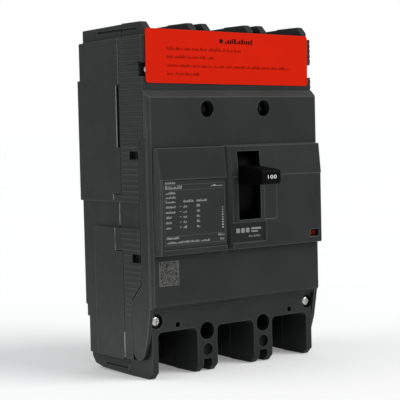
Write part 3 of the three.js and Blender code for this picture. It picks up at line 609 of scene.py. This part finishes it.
def build_case():
    housing = cad_solid("base_housing")
    marks = bmesh.new()
    # Ejector marks and shallow lightening recesses in the rear face.
    for x in POLES:
        for height in (38, 127):
            add_prism(marks, circle(x, height, 3), from_front, -1, 0.25)
        for low, high in ((50, 74), (90, 114)):
            left, right = x - RECESS_HALF_WIDTH, x + RECESS_HALF_WIDTH
            add_prism(marks, rounded_rectangle(left, right, low, high, 2), from_front, -1, 0.6)
    housing = cut(housing, marks)
    piece("base_housing_shell", housing, "case", BASE, ["base_housing"], bevel=0.35)

    cover = cut(cad_solid("mid_cover"), rib_cuts())
    piece("mid_cover_shell", cover, "case", CASE, ["mid_cover"], bevel=0.3)


build_case()

# ---------------------------------------------------------------- front cover


def in_cover_opening(x, height):
    """Whether a point of the front cover lies on the walls of the toggle slot or of a screw hole."""
    left, right, low, high = TOGGLE_SLOT
    if left < x < right and low < height < high:
        return True
    return any(math.hypot(x - a, height - b) < LID_HOLE_REACH for a, b in LID_SCREWS.values())


def cover_look(face):
    """Look of a face of the front cover, by its place and the way it leans."""
    x, depth, height = face.center.x / MM, -face.center.y / MM, face.center.z / MM + HEIGHT / 2
    if abs(depth - PLATE_FACE) < 0.02:
        return POLISHED
    if depth < PANEL_FACE - 0.5 and in_cover_opening(x, height):
        return SHADED
    # Slanted faces that don't face down take the lighter copies, the lightest facing left: painted light.
    slanted = 0.2 < -face.normal.y < 0.95
    if slanted and face.normal.z > -0.3:
        return LIT_FLANK if face.normal.x < -0.8 else LIT_CHAMFER
    return COVER


def build_front_cover():
    made = piece(
        "front_cover_shell",
        cad_solid("front_cover"),
        "front_cover_assembly",
        COVER,
        ["front_cover"],
        bevel=0.35,
    )
    looks = [COVER, POLISHED, SHADED, LIT_CHAMFER, LIT_FLANK]
    for look in looks[1:]:
        made.data.materials.append(look)
    for face in made.data.polygons:
        face.material_index = looks.index(cover_look(face))


build_front_cover()

# ---------------------------------------------------------------- labels and printing


def add_line(bm, rng, x0, x1, height, depth, size, words=(2.5, 6), weight=1):
    """A line of stand-in print from x0 to x1: words of thin strokes, some of them tall.

    size is the height of a tall stroke, words holds the shortest and longest word in sizes,
    and weight thickens the strokes."""
    x = x0
    while x < x1 - size:
        end = min(x + size * rng.uniform(*words), x1)
        while x < end - size * 0.2:
            width = size * rng.uniform(0.13, 0.26) * weight
            tall = size * rng.choice((1, 0.72, 0.72, 0.4))
            add_block(bm, x, x + width, depth, depth + PRINT, height, height + tall)
            x += width + size * rng.uniform(0.16, 0.28)
        x += size * 0.4


def add_frame(bm, x0, x1, h0, h1, depth, line):
    """Thin printed rectangle of four bars, a hair apart at the corners so that none overlap."""
    add_block(bm, x0, x1, depth, depth + PRINT, h0, h0 + line)
    add_block(bm, x0, x1, depth, depth + PRINT, h1 - line, h1)
    add_block(bm, x0, x0 + line, depth, depth + PRINT, h0 + line * 1.1, h1 - line * 1.1)
    add_block(bm, x1 - line, x1, depth, depth + PRINT, h0 + line * 1.1, h1 - line * 1.1)


def tilt_label(bm):
    """The label is stuck on by hand, so it and its print aren't quite level."""
    turn = Matrix.Rotation(math.radians(LABEL_TILT), 4, "Y")
    bmesh.ops.rotate(bm, cent=point(0, 0, LABEL_CENTRE), matrix=turn, verts=bm.verts)


def build_line_end_label():
    bm = bmesh.new()
    add_prism(bm, rounded_rectangle(*LABEL_BOX, 1.5), from_front, LABEL_REAR, LABEL_FACE)
    tilt_label(bm)
    piece("line_end_label_film", bm, "case", RED_FILM, ["line_end_label"], bevel=0.06)

    rng = random.Random(SEED)
    bold = bmesh.new()
    add_prism(bold, circle(-5.6, 156.6, 1.1, 24), from_front, LABEL_FACE, LABEL_FACE + PRINT)
    add_line(bold, rng, -3.2, 14.5, 155.5, LABEL_FACE, 2.3, ONE_WORD, 2)
    tilt_label(bold)
    piece("line_end_label_heading", bold, "case", BLACK_INK)

    small = bmesh.new()
    for x1, height in ((8, 151.6), (-10, 147.8), (38, 143.8), (-18, 140)):
        add_line(small, rng, -38, x1, height, LABEL_FACE, 1.4)
    tilt_label(small)
    piece("line_end_label_text", small, "case", DARK_INK)


def build_rating_label():
    bm = bmesh.new()
    add_prism(bm, rounded_rectangle(*RATING_BOX, 0.6), from_front, RATING_REAR, RATING_FACE)
    stands_for = ["rating_label"]
    piece("rating_label_film", bm, "front_cover_assembly", DARK_FILM, stands_for, bevel=0.06)

    rng = random.Random(SEED + 1)
    face = RATING_FACE
    bm = bmesh.new()
    add_frame(bm, -46.2, -10.7, 62.2, 90, face, 0.16)
    add_block(bm, -45.9, -11, face, face + PRINT, 87.4, 87.56)
    add_block(bm, -45.9, -11, face, face + PRINT, 66.3, 66.46)
    piece("rating_label_frame", bm, "front_cover_assembly", FRAME_INK)

    bm = bmesh.new()
    size = 1.2
    add_line(bm, rng, -45.3, -39.6, 90.4, face, size, ONE_WORD)
    add_line(bm, rng, -45.3, -34, 88, face, 1.6, (5, 6))
    add_block(bm, -18.8, -11.7, face, face + PRINT, 88.5, 88.7)
    add_block(bm, -17.3, -16, face, face + PRINT, 88.8, 89.2)
    add_line(bm, rng, -45.2, -39.6, 85.7, face, size, ONE_WORD)
    add_line(bm, rng, -45.2, -39.2, 83.7, face, size, ONE_WORD)
    for row in range(6):
        height = 81.7 - row * 2.38
        add_line(bm, rng, -45.2, -39.6 if row < 3 else -42.2, height, face, size, ONE_WORD)
        add_line(bm, rng, -35.2, -33.2 if row else -29.2, height, face, size, ONE_WORD)
        add_line(bm, rng, -27.4, -25.3 if row else -21.2, height, face, size, ONE_WORD)
        if row:
            add_block(bm, -37.4, -36.4, face, face + PRINT, height + 0.5, height + 0.7)
    for step in range(9):
        low = 68.6 + step * 1.2
        add_block(bm, -12.4, -11.6, face, face + PRINT, low, low + rng.uniform(0.3, 0.8))
    add_line(bm, rng, -45.1, -38, 65, face, size, ONE_WORD)
    add_line(bm, rng, -44.9, -19.5, 63, face, 1.1)
    add_line(bm, rng, -14.9, -11.2, 65, face, 1.1, ONE_WORD)
    add_line(bm, rng, -13.6, -11.2, 63, face, 1.1, ONE_WORD)
    piece("rating_label_print", bm, "front_cover_assembly", PALE_INK)


def build_cover_printing():
    rng = random.Random(SEED + 2)
    bm = bmesh.new()
    # Made-up speckle square in place of a code; it holds no data.
    cells = 33
    low_x, low_h, side = -47.7, 43.4, 11.4
    cell = side / cells
    for row in range(cells):
        for column in range(cells):
            rim = row in (0, cells - 1) or column in (0, cells - 1)
            if rim or rng.random() < 0.46:
                x = low_x + column * cell
                h = low_h + row * cell
                add_block(bm, x, x + cell * 0.94, COVER_FACE, COVER_FACE + PRINT, h, h + cell * 0.94)
    piece("speckle_square_print", bm, "front_cover_assembly", SPECKLE_INK)

    bm = bmesh.new()
    # Plain mark on the plate under the toggle: three squares, two bars and a short line.
    face = PLATE_FACE
    for i in range(3):
        outline = rounded_rectangle(-3.4 + i * 3, -1.2 + i * 3, 65.2, 67.4, 0.3)
        add_prism(bm, outline, from_front, face, face + PRINT)
    add_block(bm, 6, 12.2, face, face + PRINT, 66.5, 67.4)
    add_block(bm, 6, 10.2, face, face + PRINT, 65.2, 65.9)
    add_line(bm, rng, 4.4, 12, 62.9, face, 1.1)
    piece("plate_mark_print", bm, "front_cover_assembly", PLATE_INK)


build_line_end_label()
build_rating_label()
build_cover_printing()

# ---------------------------------------------------------------- toggle and trip button


def build_toggle():
    """The handle with a generic number on its tip."""
    lever = cad_solid("toggle_lever")
    stands_for = ["toggle_lever"]
    piece("toggle_handle", lever, "toggle", TOGGLE, stands_for, bevel=0.5, segments=3)

    curve = bpy.data.curves.new("toggle_number", "FONT")
    curve.body = "100"
    curve.size = 2.45
    curve.space_character = 1.1
    curve.extrude = PRINT / 2
    curve.align_x = "CENTER"
    curve.align_y = "CENTER"
    text = bpy.data.objects.new("toggle_number_source", curve)
    bpy.context.scene.collection.objects.link(text)
    source = text.evaluated_get(bpy.context.evaluated_depsgraph_get()).to_mesh()
    bm = bmesh.new()
    bm.from_mesh(source)
    bpy.data.objects.remove(text)
    bmesh.ops.remove_doubles(bm, verts=bm.verts, dist=0.001)
    widened = Matrix.Diagonal((1.6, 1, 1, 1))
    upright = Matrix.Rotation(math.pi / 2, 4, "X") @ widened
    place = Matrix.Translation(point(TOGGLE_X, TOGGLE_TIP + PRINT / 2, TOGGLE_NUMBER_HEIGHT))
    bmesh.ops.transform(bm, matrix=place @ upright, verts=bm.verts)
    piece("toggle_number", bm, "toggle", WHITE_INK)


def build_trip_button():
    button = cad_solid("trip_button")
    stands_for = ["trip_button"]
    piece("trip_button_cap", button, "trip_button", BUTTON, stands_for, bevel=0.2)

    # Dark stand-in print on the button, in place of a word.
    rng = random.Random(SEED + 3)
    bm = bmesh.new()
    for row in range(4):
        for column in range(8):
            if rng.random() < 0.5:
                x = 44.5 + column * 0.57
                height = 61.2 + row * 0.58
                add_block(bm, x, x + 0.5, BUTTON_FACE, BUTTON_FACE + PRINT, height, height + 0.5)
    piece("trip_button_print", bm, "trip_button", BLACK_INK)


build_toggle()
build_trip_button()

# ---------------------------------------------------------------- screws


def pan_screw(name, body, look, slot, x, height, seat, length, radius, head):
    """Domed pan head with a tapered cross recess and a threaded shank.

    radius and head are the radius and height of the head, length the reach behind its seat."""
    crest, root, tip, collar = 1.6, 1.35, 1.1, 1.5
    bm = bmesh.new()
    dome = [(radius, seat + head * 0.3)]
    for i in range(1, 6):
        angle = math.pi / 2 * i / 5
        rise = head * (0.3 + 0.7 * math.sin(angle))
        dome.append((radius * (0.42 + 0.58 * math.cos(angle)), seat + rise))
    thread = []
    turns = 8
    pitch = (length - crest) / turns
    for i in range(turns):
        depth = seat - 0.6 - i * pitch
        thread += [(crest, depth), (root, depth - pitch / 2)]
    profile = [(0, seat - length), (tip, seat - length)]
    profile += thread[::-1] + [(collar, seat), (radius * 0.94, seat), (radius, seat + 0.1)]
    profile += dome + [(0, seat + head)]
    add_lathe(bm, x, height, profile, 28)
    recess = bmesh.new()
    reach = radius * 0.62
    top = seat + head
    for u, v in ((reach, 0.3), (0.3, reach)):
        wide = [(x - u, height - v), (x + u, height - v), (x + u, height + v), (x - u, height + v)]
        narrow = [(x + (a - x) * 0.5, height + (b - height) * 0.7) for a, b in wide]
        lower = [recess.verts.new(point(a, top - 0.9, b)) for a, b in narrow]
        upper = [recess.verts.new(point(a, top + 0.3, b)) for a, b in wide]
        faces = [recess.faces.new(lower[::-1]), recess.faces.new(upper)]
        for i in range(4):
            j = (i + 1) % 4
            faces.append(recess.faces.new([lower[i], lower[j], upper[j], upper[i]]))
        bmesh.ops.recalc_face_normals(recess, faces=faces)
    bm = cut(bm, recess)
    piece(name + "_detailed", bm, body, look, [name], bevel=0.06, smooth=50)


def socket_screw(name, x, height):
    """Cylinder head with a chamfered rim and a hexagon socket."""
    seat = TERMINAL_SCREW_SEAT
    bm = bmesh.new()
    profile = [(0, 11), (3.2, 11), (4, 12), (4, seat - 0.6), (3.6, seat), (6.2, seat), (6.5, seat + 0.3)]
    profile += [(6.5, seat + 5.3), (5.8, seat + 6), (0, seat + 6)]
    add_lathe(bm, x, height, profile, 40)
    recess = bmesh.new()
    add_prism(recess, circle(x, height, 3.4, 6), from_front, seat + 2.5, seat + 7)
    bm = cut(bm, recess)
    piece(name + "_detailed", bm, "case", BLACK_OXIDE, [name], bevel=0.12, smooth=35)


for screw, (screw_x, screw_height) in CORNER_SCREWS.items():
    at = (screw_x, screw_height, CORNER_SCREW_SEAT)
    pan_screw(screw, "case", ZINC, "zinc_plate", *at, length=30, radius=2.5, head=1.7)
for screw, (screw_x, screw_height) in LID_SCREWS.items():
    at = (screw_x, screw_height, LID_SCREW_SEAT)
    look = BLACK_OXIDE
    pan_screw(screw, "front_cover_assembly", look, "black_oxide", *at, length=10, radius=3.3, head=2.2)
for end, screw_height in TERMINAL_SCREW_HEIGHTS.items():
    for pole_name, screw_x in zip(POLE_NAMES, POLES):
        socket_screw(f"{end}_screw_{pole_name}", screw_x, screw_height)

# ---------------------------------------------------------------- carried-over CAD nodes

LOOKS = {
    "copper": COPPER,
    "tin_plate": TIN,
    "zinc_plate": ZINC,
    "steel": STEEL,
    "bimetal": BIMETAL,
    "fibre_plastic": FIBRE,
}


def dress_cad_nodes():
    """Gives every CAD node that still shows its material, rounded edges and smooth shading."""
    slots = {part["node"]: part["material_slot"] for part in frame["record"]["subparts"]}
    for node, made in frame["nodes"].items():
        if made.hide_render:
            continue
        made.data.materials.clear()
        made.data.materials.append(LOOKS[slots[node]])
        weld = made.modifiers.new("weld", "WELD")
        weld.merge_threshold = WELD * MM
        soften(made, 0.12, 1, 35, "ANGLE")


dress_cad_nodes()

# ---------------------------------------------------------------- floor, light and camera


def build_floor():
    """A pale sheet that the object stands on."""
    bm = bmesh.new()
    bmesh.ops.create_grid(bm, x_segments=8, y_segments=8, size=30)
    # A hair under the foot, so that no face of the object lies in the floor's plane.
    bmesh.ops.translate(bm, vec=(0, 0, (-HEIGHT / 2 - 0.05) * MM), verts=bm.verts)
    mesh = bpy.data.meshes.new("floor")
    bm.to_mesh(mesh)
    bm.free()
    floor = bpy.data.objects.new("floor", mesh)
    bpy.context.scene.collection.objects.link(floor)
    look, tree, shader, where = base_material("floor")
    cloud = noise(tree, where, 3, 2)
    tone = blend(tree, remap(tree, cloud, 0.3, 0.7, 0, 1), (0.78, 0.78, 0.78), (0.8, 0.8, 0.8))
    tree.links.new(tone, shader.inputs["Base Color"])
    # The floor glows a little, which keeps it pale around the object.
    shader.inputs["Emission Color"].default_value = (1, 1, 1, 1)
    shader.inputs["Emission Strength"].default_value = 0.2
    shader.inputs["Roughness"].default_value = 0.9
    shader.inputs["Specular IOR Level"].default_value = 0.1
    floor.data.materials.append(look)


def add_sun(name, strength, spread, source):
    """Soft distant light from the direction of source; spread is in degrees."""
    light = bpy.data.lights.new(name, "SUN")
    light.energy = strength
    light.angle = math.radians(spread)
    made = bpy.data.objects.new(name, light)
    made.rotation_mode = "QUATERNION"
    made.rotation_quaternion = Vector(source).to_track_quat("Z", "Y")
    bpy.context.scene.collection.objects.link(made)


def add_panel(name, power, width, height, place, target):
    """Soft rectangular light beside the object, out of the camera's sight and off the floor."""
    light = bpy.data.lights.new(name, "AREA")
    light.shape = "RECTANGLE"
    light.size = width
    light.size_y = height
    light.energy = power
    made = bpy.data.objects.new(name, light)
    made.location = place
    made.rotation_mode = "QUATERNION"
    made.rotation_quaternion = (Vector(place) - Vector(target)).to_track_quat("Z", "Y")
    made.visible_camera = False
    bpy.context.scene.collection.objects.link(made)
    # The floor is left out, so that no bright patch shows on it.
    unlit = bpy.data.collections.new(name + "_unlit")
    unlit.objects.link(bpy.data.objects["floor"])
    unlit.collection_objects[0].light_linking.link_state = "EXCLUDE"
    made.light_linking.receiver_collection = unlit


def build_light():
    """Pale surroundings, a key light from the right front, a weaker one from the left rear, and a
    faint panel low on the left."""
    world = bpy.data.worlds.new("studio")
    bpy.context.scene.world = world
    world.use_nodes = True
    tree = world.node_tree
    fill = tree.nodes["Background"]
    fill.inputs["Color"].default_value = (0.97, 0.985, 1, 1)
    fill.inputs["Strength"].default_value = 0.5
    white = tree.nodes.new("ShaderNodeBackground")
    white.inputs["Color"].default_value = (1, 1, 1, 1)
    white.inputs["Strength"].default_value = 1
    path = tree.nodes.new("ShaderNodeLightPath")
    mix = tree.nodes.new("ShaderNodeMixShader")
    tree.links.new(path.outputs["Is Camera Ray"], mix.inputs["Fac"])
    tree.links.new(fill.outputs["Background"], mix.inputs[1])
    tree.links.new(white.outputs["Background"], mix.inputs[2])
    tree.links.new(mix.outputs["Shader"], tree.nodes["World Output"].inputs["Surface"])
    add_sun("key", 1.9, 40, (0.5, -0.7, 0.75))
    add_sun("rim", 0.7, 50, (-0.7, 0.4, 0.6))
    add_panel("low_fill", 0.03, 0.16, 0.012, (-0.1, -0.012, -0.08), (-0.052, -0.012, -0.072))
    bpy.context.scene.view_settings.view_transform = "Standard"


def build_camera():
    camera = bpy.data.cameras.new("camera")
    camera.sensor_width = 36
    camera.lens = CAMERA_LENS
    camera.clip_start = 0.01
    camera.clip_end = 100
    made = bpy.data.objects.new("camera", camera)
    forward = Vector(CAMERA_FORWARD).normalized()
    up = Vector(CAMERA_UP).normalized()
    right = forward.cross(up).normalized()
    up = right.cross(forward)
    turn = Matrix((right, up, -forward)).transposed()
    made.matrix_world = Matrix.Translation(CAMERA_PLACE) @ turn.to_4x4()
    bpy.context.scene.collection.objects.link(made)
    bpy.context.scene.camera = made


build_floor()
build_light()
build_camera()
